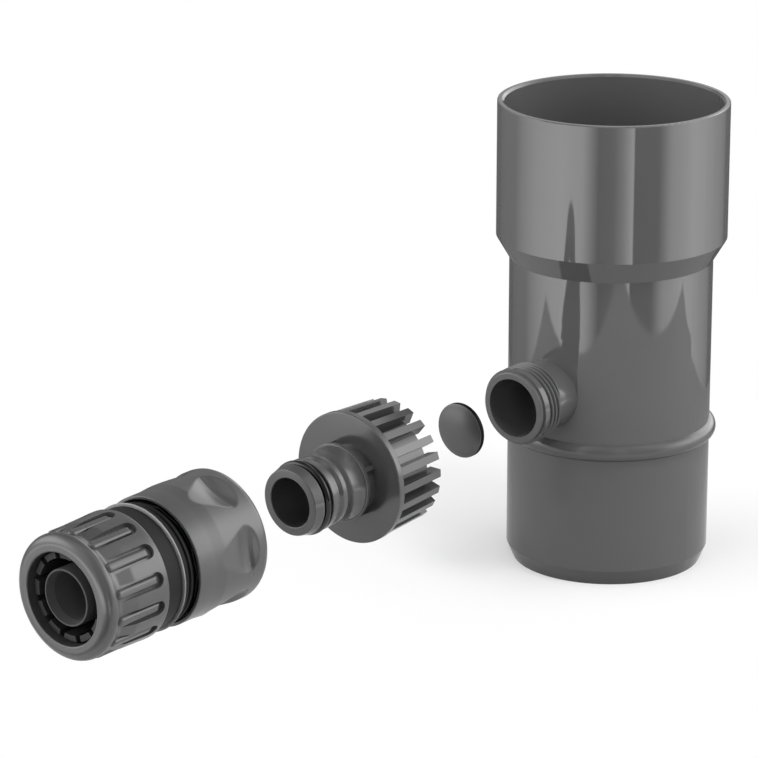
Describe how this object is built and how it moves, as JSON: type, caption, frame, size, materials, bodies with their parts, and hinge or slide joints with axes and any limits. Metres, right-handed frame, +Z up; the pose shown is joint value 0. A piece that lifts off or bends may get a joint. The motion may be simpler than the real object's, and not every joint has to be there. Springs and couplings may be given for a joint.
{
  "type": "downpipe rainwater diverter",
  "caption": "Round downpipe section with a threaded side spout, shown drawn apart from its closing disc, finned adaptor and quick-release hose connector.",
  "frame": {"origin": "centre of the spigot's foot, on the pipe axis", "axes": "+Z up along the downpipe, the outlet points to -Y and falls by 2.4 degrees"},
  "size_m": [0.0802, 0.3091, 0.165],
  "materials": {
    "graphite_gloss": "smooth gloss moulding",
    "graphite_satin": "satin moulding",
    "black_rubber": "smooth wet-looking rubber",
    "dark_satin": "satin moulding",
    "spring_steel": "drawn wire",
    "light_grey": "satin moulding"
  },
  "bodies": {
    "pipe": {"downpipe_body": "graphite_gloss", "collecting_trough": "graphite_gloss"},
    "disc": {"closing_disc": "graphite_satin"},
    "adaptor": {"adaptor_body": "graphite_satin", "nipple_o_ring": "black_rubber", "flat_washer": "black_rubber"},
    "connector": {"connector_body": "dark_satin", "retaining_ring": "dark_satin", "stop_ring": "light_grey", "clamping_collet": "dark_satin", "sleeve_spring": "spring_steel", "claw_spring": "spring_steel", "locking_claw_1": "dark_satin", "locking_claw_2": "dark_satin", "locking_claw_3": "dark_satin"},
    "sleeve": {"release_sleeve": "graphite_satin"},
    "nut_carriage": {"nut_slip_ring": "dark_satin"},
    "nut": {"hose_nut": "graphite_satin"}
  },
  "joints": [
    {"name": "adaptor_slide", "type": "slide", "parent": "pipe", "child": "adaptor", "axis": [0, 0.9991, 0.0419], "range_m": [0, 0.0767]},
    {"name": "disc_slide", "type": "slide", "parent": "pipe", "child": "disc", "axis": [0, 0.9991, 0.0419], "range_m": [0, 0.0261]},
    {"name": "connector_slide", "type": "slide", "parent": "adaptor", "child": "connector", "axis": [0, 0.9991, 0.0419], "range_m": [0, 0.052]},
    {"name": "release_sleeve_slide", "type": "slide", "parent": "connector", "child": "sleeve", "axis": [0, -0.9991, -0.0419], "range_m": [0, 0.0045], "stiffness_N_per_m": 400, "springref_m": -0.003, "deforming": ["sleeve_spring"]},
    {"name": "nut_travel", "type": "slide", "parent": "connector", "child": "nut_carriage", "axis": [0, -0.9991, -0.0419], "range_m": [0, 0.005]},
    {"name": "nut_turn", "type": "hinge", "parent": "nut_carriage", "child": "nut", "pos_m": [0, -0.24259, 0.05853], "axis": [0, -0.9991, -0.0419], "range_deg": [0, 720]}
  ],
  "couplings": [
    {"joint": "disc_slide", "follows": "adaptor_slide", "ratio": 0.34029},
    {"joint": "nut_travel", "follows": "nut_turn", "m_per_rad": 0.00039789}
  ]
}
